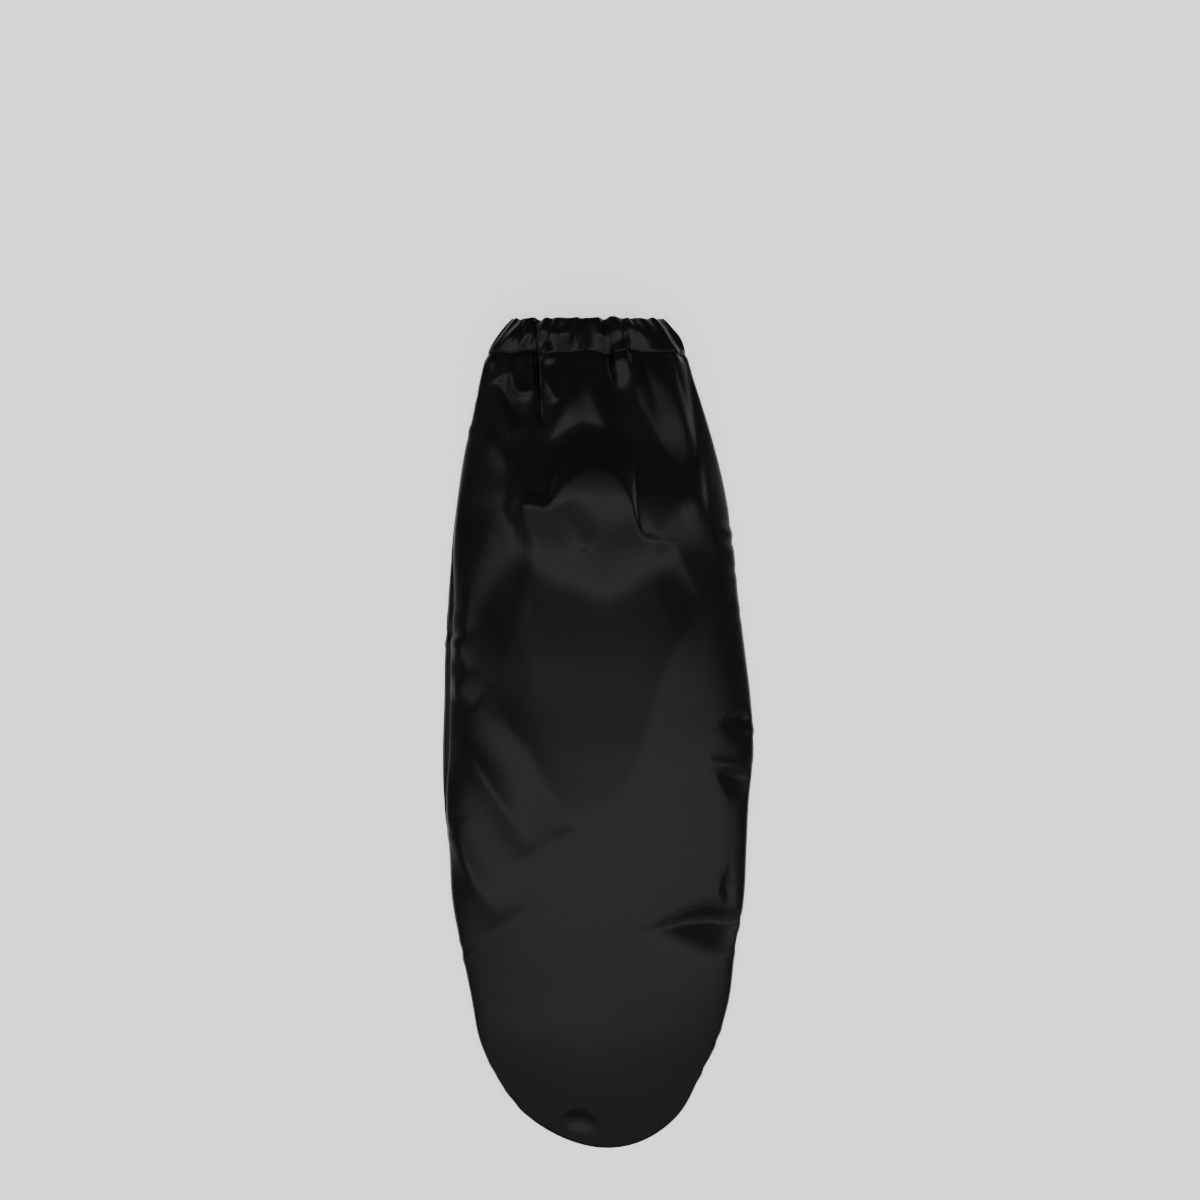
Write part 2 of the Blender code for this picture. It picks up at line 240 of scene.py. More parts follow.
FACETS = (
    Facet(
        ((-0.608, 0.226), (-0.435, 0.224), (-0.295, 0.2225), (-0.231, 0.203), (-0.09, 0.181),
         (0.026, 0.179), (0.141, 0.195), (0.205, 0.2225), (0.243, 0.25), (0.346, 0.265),
         (0.461, 0.266)),
        ((-0.467, 0.252), (-0.352, 0.264), (-0.147, 0.27), (0.058, 0.277), (0.275, 0.276),
         (0.40, 0.272), (0.461, 0.266)), 0.135, 0.38, 1.1, 4.0,
    ),
    Facet(
        ((-0.339, 0.156), (-0.269, 0.133), (-0.205, 0.111), (-0.141, 0.093), (-0.083, 0.085),
         (-0.032, 0.097), (0.013, 0.116), (0.058, 0.1354)),
        ((-0.269, 0.1463), (-0.205, 0.1366), (-0.141, 0.1306), (-0.077, 0.1282), (-0.013, 0.1306),
         (0.058, 0.1354)), 0.17, 0.15, 2.5, 0.5,
    ),
    Facet(
        ((0.231, 0.092), (0.269, 0.0786), (0.333, 0.0726), (0.40, 0.0770), (0.46, 0.094),
         (0.52, 0.12), (0.58, 0.146), (0.64, 0.168)),
        ((0.269, 0.109), (0.333, 0.1294), (0.384, 0.1487), (0.448, 0.1657), (0.53, 0.176),
         (0.64, 0.168)), 0.125, 0.10, 3.0, 0.8,
    ),
    Facet(
        ((-0.794, 0.157), (-0.73, 0.152), (-0.627, 0.163), (-0.551, 0.1765), (-0.487, 0.191)),
        ((-0.717, 0.172), (-0.627, 0.185), (-0.551, 0.193), (-0.487, 0.191)), 0.11, 0.12, 3.0, 2.0,
    ),
    Facet(
        ((0.50, 0.232), (0.56, 0.217), (0.62, 0.215), (0.71, 0.236)),
        ((0.56, 0.245), (0.63, 0.25), (0.71, 0.236)), 0.10, 0.08, 3.0, 2.5,
    ),
    Facet(
        ((0.07, 0.064), (0.10, 0.054), (0.17, 0.052), (0.22, 0.064)),
        ((0.11, 0.08), (0.17, 0.084), (0.22, 0.064)), 0.20, 0.20, 1.2, 1.2,
    ),
    Facet(
        ((-0.38, 0.046), (-0.32, 0.043), (-0.24, 0.046)),
        ((-0.31, 0.058), (-0.24, 0.046)), 0.26, 0.30, 0.6, 1.0,
    ),
    Facet(
        ((-0.73, 0.056), (-0.685, 0.048), (-0.64, 0.056)),
        ((-0.685, 0.064), (-0.64, 0.056)), 0.26, 0.30, 0.8, 1.0,
    ),
    Facet(
        ((0.45, 0.042), (0.50, 0.037), (0.55, 0.042)),
        ((0.50, 0.05), (0.55, 0.042)), 0.26, 0.30, 0.8, 1.0,
    ),
    Facet(
        ((-0.88, 0.42), (-0.76, 0.35), (-0.68, 0.318), (-0.60, 0.296), (-0.467, 0.29),
         (-0.352, 0.305), (-0.147, 0.32), (0.058, 0.332), (0.275, 0.313), (0.38, 0.302),
         (0.46, 0.304), (0.56, 0.32), (0.68, 0.345)),
        ((-0.76, 0.437), (-0.68, 0.452), (-0.60, 0.472), (-0.54, 0.496), (-0.44, 0.52),
         (-0.31, 0.565), (-0.15, 0.61), (0.01, 0.588), (0.16, 0.56), (0.28, 0.512), (0.36, 0.455),
         (0.47, 0.402), (0.58, 0.368), (0.68, 0.345)), -0.04, 0.14, 4.0, 1.2,
    ),
    Facet(
        ((-0.86, 0.44), (-0.75, 0.385), (-0.62, 0.35), (-0.50, 0.375), (-0.38, 0.44)),
        ((-0.75, 0.475), (-0.62, 0.49), (-0.50, 0.48), (-0.38, 0.44)), -0.028, 0.06, 9.0, 6.0,
    ),
    Facet(
        ((-0.97, 0.25), (-0.85, 0.235), (-0.70, 0.232), (-0.60, 0.236), (-0.50, 0.262),
         (-0.40, 0.285)),
        ((-0.85, 0.33), (-0.70, 0.39), (-0.60, 0.40), (-0.50, 0.35), (-0.40, 0.285)),
        -0.05, 0.10, 3.0, 5.0,
    ),
    Facet(
        ((0.33, 0.30), (0.42, 0.285), (0.55, 0.275), (0.68, 0.285), (0.80, 0.31)),
        ((0.42, 0.345), (0.52, 0.385), (0.66, 0.375), (0.80, 0.31)), -0.035, 0.08, 4.0, 5.0,
    ),
    Facet(
        ((0.32, 0.731), (0.45, 0.7265), (0.595, 0.722), (0.78, 0.7235), (0.93, 0.732),
         (0.975, 0.74)),
        ((0.45, 0.7415), (0.595, 0.756), (0.74, 0.766), (0.87, 0.76), (0.975, 0.74)),
        -0.21, 0.55, 1.0, 3.0,
    ),
    Facet(
        ((0.75, 0.485), (0.84, 0.481), (0.93, 0.479), (1.00, 0.484)),
        ((0.84, 0.503), (0.93, 0.52), (1.00, 0.526)), -0.15, 0.70, 0.6, 2.0,
    ),
    Facet(
        ((0.74, 0.543), (0.84, 0.548), (0.93, 0.55), (1.00, 0.552)),
        ((0.82, 0.572), (0.92, 0.586), (1.00, 0.58)), -0.17, 0.70, 0.5, 2.0,
    ),
    Facet(
        ((0.76, 0.69), (0.82, 0.682), (0.88, 0.70)),
        ((0.84, 0.712), (0.88, 0.70)), -0.12, 0.20, 1.5, 2.0,
    ),
    Facet(
        ((-0.27, 0.966), (-0.20, 0.965), (-0.10, 0.966), (0.04, 0.973)),
        ((-0.17, 0.981), (-0.08, 0.984), (0.04, 0.973)), -0.50, 0.60, 1.8, 2.6,
    ),
)
BULGES = (
    Bulge(-0.88, 9.0, 5.0, 6.0, 1.0),
    Bulge(-0.73, 12.0, 7.0, 5.5, 1.5),
    Bulge(-0.50, 14.0, 5.0, 5.0, 1.2),
    Bulge(-0.34, 13.0, 8.0, 4.0, 1.7),
    Bulge(-0.22, 9.0, 6.0, 4.0, 1.0),
    Bulge(0.15, 11.0, 3.0, 3.0, 0.8),
    Bulge(0.33, 12.0, 6.0, 6.0, 1.5),
    Bulge(0.53, 15.0, 7.0, 4.0, 1.6),
    Bulge(0.66, 9.0, 6.0, 5.0, 1.3),
    Bulge(0.86, 8.0, 4.0, 5.0, 0.9),
    Bulge(0.00, 10.0, 9.0, 12.0, -2.0),
)


def follow(places: Points, values: Points, at: Points) -> Points:
    """A smooth curve through values: cubic pieces whose slopes come from their neighbours.

    Each piece is h00*v0 + h10*s0 + h01*v1 + h11*s1, the cubic Hermite form.

    Args:
        places: where the values hold, rising.
        values: the values to pass through.
        at: where the curve is wanted.

    Returns:
        The curve's values at the wanted places.
    """
    slopes = np.gradient(values, places)
    k = np.clip(np.searchsorted(places, at) - 1, 0, len(places) - 2)
    step = places[k + 1] - places[k]
    t = np.clip((at - places[k]) / step, 0.0, 1.0)
    from_start = values[k] * (2 * t**3 - 3 * t**2 + 1) + slopes[k] * step * (t**3 - 2 * t**2 + t)
    to_end = values[k + 1] * (3 * t**2 - 2 * t**3) + slopes[k + 1] * step * (t**3 - t**2)
    return from_start + to_end


def ease(share: Points) -> Points:
    """Goes from 0 to 1 with level ends: 3t^2 - 2t^3 of the clipped share."""
    t = np.clip(share, 0.0, 1.0)
    return t * t * (3 - 2 * t)


def sideways(turn: Points) -> Points:
    """-1 at the left seam, 0 in the middle of either layer and 1 at the right seam."""
    return -np.cos(2 * np.pi * turn)


def wander(along: Points, waves: float, seed: int) -> Points:
    """An uneven wave from about -1 to 1: three sines whose lengths have no common measure.

    Args:
        along: shares of the way.
        waves: how many waves there are along it.
        seed: which of the phases' draws is used.

    Returns:
        The wave's heights.
    """
    shift = np.random.default_rng(seed).uniform(0, 2 * np.pi, 3)
    total = np.sin(2 * np.pi * waves * along + shift[0] + 1.1 * np.sin(5.3 * along + shift[1]))
    total = total + 0.6 * np.sin(2 * np.pi * waves * 1.618 * along + shift[1])
    return (total + 0.4 * np.sin(2 * np.pi * waves * 0.412 * along + shift[2])) / 1.6


@dataclass(frozen=True)
class SleeveForm:
    """The whole sleeve as one smooth form, on which every piece has its place.

    The driving sizes repeat those of the frame's solids. The length and the casing's depth are
    read from the frame's boxes.
    """

    length: float
    casing_depth: float
    width: float = 0.189
    loft: float = 0.030
    round_end: float = 0.075
    seam_height: float = 0.0042
    edge_roll: float = 0.014
    tuck_depth: float = 0.0030
    mouth_width: float = 0.107
    mouth_height: float = 0.025
    casing_wall: float = 0.0040
    neck: float = 0.075
    cloth: float = 0.0012
    gather_depth: float = 0.0038
    fold_height: float = 0.0045
    ruffle_depth: float = 0.0009
    ruffles: int = 21
    ruffle_calm: float = 0.95
    top_power: float = 2.6
    top_edge: float = 0.85
    pucker_depth: float = 0.0006
    pucker_waves: int = 34
    pucker_spell: int = 7
    pucker_reach: float = 0.06
    pucker_tip_power: int = 8
    fine_creases: int = 44
    facet_ease: float = 0.006
    facet_corner: float = 0.12
    facet_fade: float = 0.010
    mouth_draw: float = 0.45
    end_calm: float = 0.85
    rim_power: int = 16
    tip_power: int = 6
    hem_waver: float = 0.0011
    hem_waves: int = 11
    hem_fade: float = 0.010

    @classmethod
    def from_frame(cls) -> "SleeveForm":
        """Reads the cap's length and its casing's depth from the frame."""
        low, high = CAD_BOX
        casing_low, casing_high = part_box("elastic_casing")
        return cls(length=high[1] - low[1], casing_depth=casing_high[1] - casing_low[1])

    def value(self, name: str, along: Points) -> Points:
        """One column of the sections, as a smooth curve along the sleeve."""
        places = np.array([section.along for section in SECTIONS])
        values = np.array([vars(section)[name] for section in SECTIONS])
        return follow(places, values, along)

    def past_casing(self, along: Points) -> Points:
        """Metres from the casing's stitches towards the tip."""
        return along * self.length - self.casing_depth

    def mouth_blend(self, sleeve: Points, mouth: float, along: Points) -> Points:
        """The mouth's value at the casing, which eases into the sleeve's over the neck."""
        share = 1 - ease(self.past_casing(along) / self.neck)
        return sleeve * (1 - share) + mouth * share

    def round_share(self, along: Points) -> Points:
        """0 along the sides and up to 1 at the tip."""
        return np.clip(1 - (1 - along) * self.length / self.round_end, 0.0, 1.0)

    def section_place(self, turn: Points, along: Points, lip: float) -> tuple[Points, Points]:
        """(x, z) of the middle of the wall, before its creases and folds.

        The top is crown * (1 - rim^power)^edge above the seam. The underside is level, and its
        edges roll up along part of an ellipse, past upright where the left seam is tucked in.

        Args:
            turn: turns round the sleeve.
            along: shares of its length.
            lip: half the height left free between the panels at the seam.

        Returns:
            The x and z arrays.
        """
        across = sideways(turn)
        tip = self.round_share(along)
        half_wall = self.mouth_blend(self.cloth, self.casing_wall, along) / 2
        mouth_half = self.mouth_width / 2
        half = mouth_half + self.value("spread", along) * (self.width / 2 - mouth_half) - half_wall
        half = half * np.sqrt(1 - tip**2)
        middle = self.value("lean", along) * self.width / 2
        rim = np.minimum(np.sqrt((1 - tip**2) * across**2 + tip**2), 1.0)
        seam = self.value("seam", along) * self.seam_height
        seam = self.mouth_blend(seam, self.mouth_height / 2, along)
        crown = self.mouth_blend(self.value("crown", along) * self.loft, self.mouth_height, along)
        tuck = np.maximum(self.value("tuck", along) * self.tuck_depth, 0.0) * (across < 0)

        top_x = middle + half * across + tuck * across**2
        reach_up = crown - half_wall - seam - lip
        top_z = seam + lip + reach_up * (1 - rim**self.top_power) ** self.top_edge

        level = 1 - self.edge_roll / (self.width / 2)
        roll = np.arcsin(np.clip((rim - level) / (1 - level), 0.0, 1.0))
        past_upright = np.arccos(1 - tuck / self.edge_roll)
        angle = roll * (1 + past_upright / (np.pi / 2))
        beyond = self.edge_roll * (np.sin(angle) - np.sin(roll))
        rise = (seam - lip - half_wall) / (1 + np.sin(past_upright))
        under_x = middle + half * across + np.sign(across) * beyond
        under_z = half_wall + rise * (1 - np.cos(angle))
        front = np.mod(turn, 1.0) < 0.5
        return np.where(front, top_x, under_x), np.where(front, top_z, under_z)

    def outward(self, turn: Points, along: Points) -> tuple[Points, Points]:
        """The sideways and upward parts of the way out of the sleeve, by small differences."""
        step = 0.002
        x_before, z_before = self.section_place(turn - step, along, 0.0)
        x_after, z_after = self.section_place(turn + step, along, 0.0)
        dx, dz = x_after - x_before, z_after - z_before
        size = np.maximum(np.hypot(dx, dz), 1e-9)
        return -dz / size, dx / size

    def pushed(
        self, turn: Points, along: Points, x: Points, z: Points, by: Points, floor: float
    ) -> tuple[Points, Points]:
        """x and z moved out of the sleeve by so many metres, and no lower than the floor."""
        out_x, out_z = self.outward(turn, along)
        return x + out_x * by, np.maximum(z + out_z * by, floor)

    def pressed(self, creases: Sequence[Crease], turn: Points, along: Points) -> Points:
        """How deep the creases are: each a bell across the cloth that dies out along it."""
        reached = np.maximum(self.past_casing(along), 0.0) / self.length
        across = sideways(turn)
        total = np.zeros_like(turn)
        for crease in creases:
            beside = (across - crease.across) / crease.width
            total += crease.depth * np.exp(-(beside**2) - (reached / crease.reach) ** 2)
        return total

    def gathers(self, turn: Points, along: Points) -> Points:
        """Share of the gather's depth by which the wall is pressed in, on both layers."""
        front = self.pressed(FRONT_CREASES, turn, along)
        back = self.pressed(BACK_CREASES, turn, along)
        return np.where(np.mod(turn, 1.0) < 0.5, front, back)

    def small_creases(self) -> list[Crease]:
        """The many short sharp creases between the main ones, drawn once from a fixed seed."""
        draw = np.random.default_rng(12)
        rows = zip(
            draw.uniform(-0.95, 0.95, self.fine_creases),
            draw.uniform(0.012, 0.030, self.fine_creases),
            draw.uniform(0.03, 0.16, self.fine_creases),
            draw.uniform(0.012, 0.050, self.fine_creases),
        )
        return [Crease(*row) for row in rows]

    def ruffle(self, turn: Points, along: Points) -> Points:
        """The casing's small waves, which grow towards the mouth's edge and are calm at its ends.

        Two slower waves crowd them here and there.
        """
        grown = ease(-self.past_casing(along) / self.casing_depth)
        crowding = 1.3 * np.sin(6 * np.pi * turn) + 0.8 * np.cos(4 * np.pi * turn)
        calm = 1 - self.ruffle_calm * sideways(turn) ** 2
        return grown * calm * np.sin(2 * np.pi * self.ruffles * turn + crowding)

    def puckers(self, turn: Points, along: Points) -> Points:
        """Small waves that the stitched seam draws into the cloth, here and there along it.

        Each is a wave along the seam times a bell across it, where a slower wave is above nought.
        """
        across = sideways(turn)
        total = np.zeros_like(across)
        for hand, seed in ((-1, 5), (1, 8)):
            here = ease(wander(along, self.pucker_waves / self.pucker_spell, seed + 1))
            bell = np.exp(-(((across - hand) / self.pucker_reach) ** 2))
            total = total + here * wander(along, self.pucker_waves, seed) * bell
        return total

    def ridge_relief(self, ridge: Ridge, side: Points, down: Points) -> Points:
        """The height of one ridge, as a share of the fold height.

        With d the distance to its line over its width on that hand, the height is
        exp(round - sqrt(d^2 + round^2)), a crest with straight flanks, times a taper.

        Args:
            ridge: the ridge.
            side: metres to the right of the cap's middle line.
            down: metres from the mouth's edge.

        Returns:
            The heights.
        """
        knots = np.array(ridge.path) * (self.width / 2, self.length)
        fine = np.linspace(0, len(knots) - 1, 8 * len(knots))
        places = np.arange(len(knots), dtype=float)
        line = np.stack([follow(places, knots[:, axis], fine) for axis in (0, 1)], axis=-1)
        total = np.zeros(side.size)
        reach = 5 * max(ridge.left, ridge.right) * self.width
        near = (side > line[:, 0].min() - reach) & (side < line[:, 0].max() + reach)
        near &= (down > line[:, 1].min() - reach) & (down < line[:, 1].max() + reach)
        here = np.stack([side[near], down[near]], axis=-1)[:, None, :]
        run = np.diff(line, axis=0)
        share = np.clip(((here - line[:-1]) * run).sum(-1) / (run**2).sum(-1), 0.0, 1.0)
        gap = here - (line[:-1] + share[..., None] * run)
        distance = np.hypot(gap[..., 0], gap[..., 1])
        nearest = distance.argmin(1)
        row = np.arange(len(nearest))
        # Down grows towards the tip, so a positive cross product is the walker's right hand.
        cross = run[nearest, 0] * gap[row, nearest, 1] - run[nearest, 1] * gap[row, nearest, 0]
        width = np.where(cross > 0, ridge.right, ridge.left) * self.width
        away = distance[row, nearest] / width
        walked = (nearest + share[row, nearest]) / len(run)
        taper = np.clip(1 - (2 * walked - 1) ** 2, 0.0, 1.0) ** ridge.taper
        crest = np.exp(ridge.round - np.sqrt(away**2 + ridge.round**2))
        total[near] = ridge.height * taper * crest
        return total

    def facet_relief(self, facet: Facet, side: Points, down: Points) -> Points:
        """The height of one facet, in metres: a tent with one long side and one short one.

        With u the way down to its foot, v the way down to its top edge and c the cosine of that
        edge's turn, it is lean * soft(u) - (lean + back * c) * soft(v) where that is above
        nought, with the corner there rounded too. soft(t) is e * log(1 + exp(t / e)): t with its
        corner rounded over a length e.

        Args:
            facet: the facet.
            side: metres to the right of the cap's middle line.
            down: metres from the mouth's edge.

        Returns:
            The heights.
        """
        top = np.array(facet.top) * (self.width / 2, self.length)
        foot = np.array((facet.top[0], *facet.foot)) * (self.width / 2, self.length)
        to_foot = follow(foot[:, 0], foot[:, 1], side) - down
        before, after = (follow(top[:, 0], top[:, 1], side + step) for step in (-MM / 2, MM / 2))
        to_top = (before + after) / 2 - down
        back = facet.back / np.hypot(1.0, (after - before) / MM)
        soft_foot, soft_top = facet.round_foot * MM, facet.round_top * MM
        slope = abs(facet.lean)
        fall = slope * soft_foot * np.logaddexp(0.0, to_foot / soft_foot) + 1e-12
        rise = (slope + back) * soft_top * np.logaddexp(0.0, to_top / soft_top)
        left = 1 - rise / fall
        inside = np.minimum(side - top[0, 0], top[-1, 0] - side)
        beside = ease(inside / self.facet_ease + 1)
        height = fall * (left + np.hypot(left, self.facet_corner)) / 2 * beside
        return math.copysign(1.0, facet.lean) * height

    def fold_relief(self, x: Points, along: Points) -> Points:
        """The front panel's ridges and facets, in metres. The facets die out on the casing."""
        side, down = x.ravel(), along.ravel() * self.length
        total = np.zeros(side.size)
        for facet in FACETS:
            total += self.facet_relief(facet, side, down)
        total *= 1 - ease(-self.past_casing(along.ravel()) / self.facet_fade)
        for ridge in RIDGES:
            total += self.fold_height * self.ridge_relief(ridge, side, down)
        return total.reshape(x.shape)

    def point(self, turn: Points, along: Points, lip: float) -> tuple[Points, Points, Points]:
        """Points of the middle of the wall, with every crease, fold, ruffle and pucker.

        Args:
            turn, along, lip: as for section_place.

        Returns:
            The x, y and z arrays.
        """
        turn, along = np.broadcast_arrays(turn, along)
        x, z = self.section_place(turn, along, lip)
        across = sideways(turn)
        tip = self.round_share(along)
        free = (1 - across**self.rim_power) * (1 - tip**self.tip_power)
        front = np.mod(turn, 1.0) < 0.5
        folded = self.fold_relief(x, along)
        past = self.past_casing(along)
        drawn = self.mouth_draw + (1 - self.mouth_draw) * ease(past / self.casing_depth)
        drawn = drawn * (1 - self.end_calm * across**4)
        moved = folded * front - self.gather_depth * self.gathers(turn, along) * drawn
        fine = self.pressed(self.small_creases(), turn, along)
        moved = (moved - self.gather_depth * fine * drawn) * free
        moved += self.ruffle_depth * self.ruffle(turn, along)
        puckered = self.puckers(turn, along) * (1 - tip**self.pucker_tip_power)
        moved += self.pucker_depth * puckered
        floor = self.mouth_blend(self.cloth, self.casing_wall, along) / 2
        y = self.length / 2 - along * (self.length - self.cloth / 2)
        waver = wander(turn, self.hem_waves, 21) * np.exp(-((past / self.hem_fade) ** 2))
        y = y + self.hem_waver * waver
        x, z = self.pushed(turn, along, x, z, moved, floor)
        return x, y, z


def linked(name: str, data: bpy.types.ID) -> bpy.types.Object:
    """A new object with this data, linked to the scene."""
    made = bpy.data.objects.new(name, data)
    bpy.context.scene.collection.objects.link(made)
    return made


def mesh_piece(name: str, points: Points, faces: Sequence) -> bpy.types.Object:
    """A smooth-shaded object from points and faces, linked to the scene."""
    mesh = bpy.data.meshes.new(name)
    mesh.from_pydata(points.reshape(-1, 3), [], faces)
    mesh.shade_smooth()
    return linked(name, mesh)


def grid_piece(name: str, points: Points, flat: Points, wrap: bool) -> bpy.types.Object:
    """A smooth-shaded object from a grid of points, with the cloth's flat places as its UV map.

    Args:
        name: the object's name.
        points: rows x columns x 3 places.
        flat: rows x columns x 2 places on the flat cloth, in metres.
        wrap: whether the last column joins the first.

    Returns:
        The new object, linked to the scene.
    """
    rows, columns = points.shape[:2]
    index = np.arange(rows * columns).reshape(rows, columns)
    beside = np.roll(index, -1, axis=1) if wrap else index[:, 1:]
    here = index if wrap else index[:, :-1]
    faces = np.stack([here[:-1], here[1:], beside[1:], beside[:-1]], axis=-1).reshape(-1, 4)
    piece = mesh_piece(name, points, faces)
    layer = piece.data.uv_layers.new(name="cloth")
    layer.data.foreach_set("uv", flat.reshape(-1, 2)[faces.ravel()].ravel())
    return piece


def weld(piece: bpy.types.Object) -> None:
    """Merges the points that meet at the tip and turns the faces outwards."""
    shape = bmesh.new()
    shape.from_mesh(piece.data)
    bmesh.ops.remove_doubles(shape, verts=shape.verts, dist=1e-6)
    bmesh.ops.recalc_face_normals(shape, faces=shape.faces)
    shape.to_mesh(piece.data)
    shape.free()


@dataclass
class Channel:
    """One output socket, on which Python's operators add Math nodes."""

    book: "NodeBook"
    socket: bpy.types.NodeSocket

    def _math(self, operation: str, first: object, second: object) -> "Channel":
        """Adds one Math node."""
        return self.book.node("ShaderNodeMath", {"operation": operation}, {0: first, 1: second})

    def __add__(self, other: object) -> "Channel":
        """self + other."""
        return self._math("ADD", self, other)

    __radd__ = __add__

    def __mul__(self, other: object) -> "Channel":
        """self * other."""
        return self._math("MULTIPLY", self, other)

    __rmul__ = __mul__


@dataclass
class NodeBook:
    """A new material and the methods that add nodes to it and fill their sockets."""

    name: str
    material: bpy.types.Material = field(init=False)

    def __post_init__(self) -> None:
        """Makes the material with its Principled shader."""
        self.material = bpy.data.materials.new(self.name)
        self.material.use_nodes = True

    def fill(self, node: bpy.types.Node, inputs: dict[int | str, object]) -> None:
        """Links channels to a node's sockets, or sets constants on them."""
        for key, value in inputs.items():
            if isinstance(value, Channel):
                self.material.node_tree.links.new(value.socket, node.inputs[key])
            else:
                node.inputs[key].default_value = value

    def shade(self, inputs: dict[str, object]) -> bpy.types.Material:
        """Fills the sockets of the Principled shader and gives the finished material."""
        self.fill(self.material.node_tree.nodes["Principled BSDF"], inputs)
        return self.material

    def node(
        self,
        kind: str,
        settings: dict[str, object],
        inputs: dict[int | str, object],
        output: int | str = 0,
    ) -> Channel:
        """Adds a node.

        Args:
            kind: the node's type.
            settings: its properties, set before its sockets.
            inputs: constants or channels for its sockets, by name or number.
            output: the socket that is wanted.

        Returns:
            That output as a channel.
        """
        made = self.material.node_tree.nodes.new(kind)
        for key, value in settings.items():
            setattr(made, key, value)
        self.fill(made, inputs)
        return Channel(self, made.outputs[output])


@dataclass(frozen=True)
class SatinFinish:
    """Black satin: a dark cloth whose fine threads give a soft broad sheen."""

    name: str
    colour: tuple[float, float, float]
    roughness: float
    specular: float = 0.25
    sheen: float = 0.06
    sheen_roughness: float = 0.35
    uneven_dye: float = 0.2
    thread: float = 0.00028
    slub: float = 0.0045
    bump: float = 0.000012

    def material(self) -> bpy.types.Material:
        """Builds the material: threads, slubs and slow changes of the dye, on the UV map.

        The wave node counts 20 radians a unit, so a band is 2 pi times thread wide.
        """
        book = NodeBook(self.name)
        flat = book.node("ShaderNodeUVMap", {"uv_map": "cloth"}, {}, "UV")
        threads = book.node(
            "ShaderNodeTexWave",
            {"bands_direction": "X", "wave_type": "BANDS"},
            {"Vector": flat, "Scale": 1 / self.thread / 20, "Distortion": 1.2, "Detail": 1.0},
            "Fac",
        )
        scale = (1 / self.thread / 3, 1 / self.slub, 1)
        stretched = book.node("ShaderNodeMapping", {}, {"Vector": flat, "Scale": scale})
        slubs = book.node(
            "ShaderNodeTexNoise", {}, {"Vector": stretched, "Scale": 1.0, "Detail": 2.0}, "Fac"
        )
        cloud = book.node(
            "ShaderNodeTexNoise", {}, {"Vector": flat, "Scale": 14.0, "Detail": 3.0}, "Fac"
        )
        dark = tuple(value * (1 - self.uneven_dye) for value in self.colour) + (1.0,)
        light = tuple(value * (1 + self.uneven_dye) for value in self.colour) + (1.0,)
        colour = book.node(
            "ShaderNodeMix",
            {"data_type": "RGBA"},
            {"Factor": 0.6 * slubs + 0.4 * cloud, 6: dark, 7: light},
            2,
        )
        relief = book.node(
            "ShaderNodeBump",
            {},
            {"Height": 0.5 * threads + 0.9 * slubs, "Distance": self.bump, "Strength": 1.0},
        )
        return book.shade({
            "Base Color": colour,
            "Roughness": self.roughness - 0.05 + 0.06 * slubs + 0.04 * cloud,
            "Normal": relief,
            "Specular IOR Level": self.specular,
            "Sheen Weight": self.sheen,
            "Sheen Roughness": self.sheen_roughness,
        })


@dataclass(frozen=True)
class ThreadFinish:
    """Black sewing thread with a twist."""

    name: str = "black_thread"
    colour: tuple[float, float, float, float] = (0.008, 0.008, 0.009, 1.0)

    def material(self) -> bpy.types.Material:
        """Builds the material: fine bands across the thread as its twist."""
        book = NodeBook(self.name)
        place = book.node("ShaderNodeTexCoord", {}, {}, "Object")
        twist = book.node(
            "ShaderNodeTexWave",
            {"bands_direction": "DIAGONAL"},
            {"Vector": place, "Scale": 900.0, "Distortion": 0.6},
            "Fac",
        )
        relief = book.node("ShaderNodeBump", {}, {"Height": twist, "Distance": 0.00005})
        rough = 0.40 + 0.12 * twist
        return book.shade({"Base Color": self.colour, "Roughness": rough, "Normal": relief})


@dataclass(frozen=True)
class PaperFinish:
    """The pale sheet that the cap lies on, lit a little from below like a light table."""

    name: str = "pale_sheet"
    glow: float = 1.2

    def material(self) -> bpy.types.Material:
        """Builds the material: a matte white with a hardly visible mottle and a soft glow."""
        book = NodeBook(self.name)
        place = book.node("ShaderNodeTexCoord", {}, {}, "Object")
        mottle = book.node("ShaderNodeTexNoise", {}, {"Vector": place, "Scale": 6.0}, "Fac")
        colour = book.node(
            "ShaderNodeMix",
            {"data_type": "RGBA"},
            {"Factor": mottle, 6: (0.88, 0.88, 0.88, 1.0), 7: (0.92, 0.92, 0.92, 1.0)},
            2,
        )
        return book.shade({
            "Base Color": colour,
            "Roughness": 0.9,
            "Specular IOR Level": 0.1,
            "Emission Color": (1.0, 1.0, 1.0, 1.0),
            "Emission Strength": self.glow,
        })


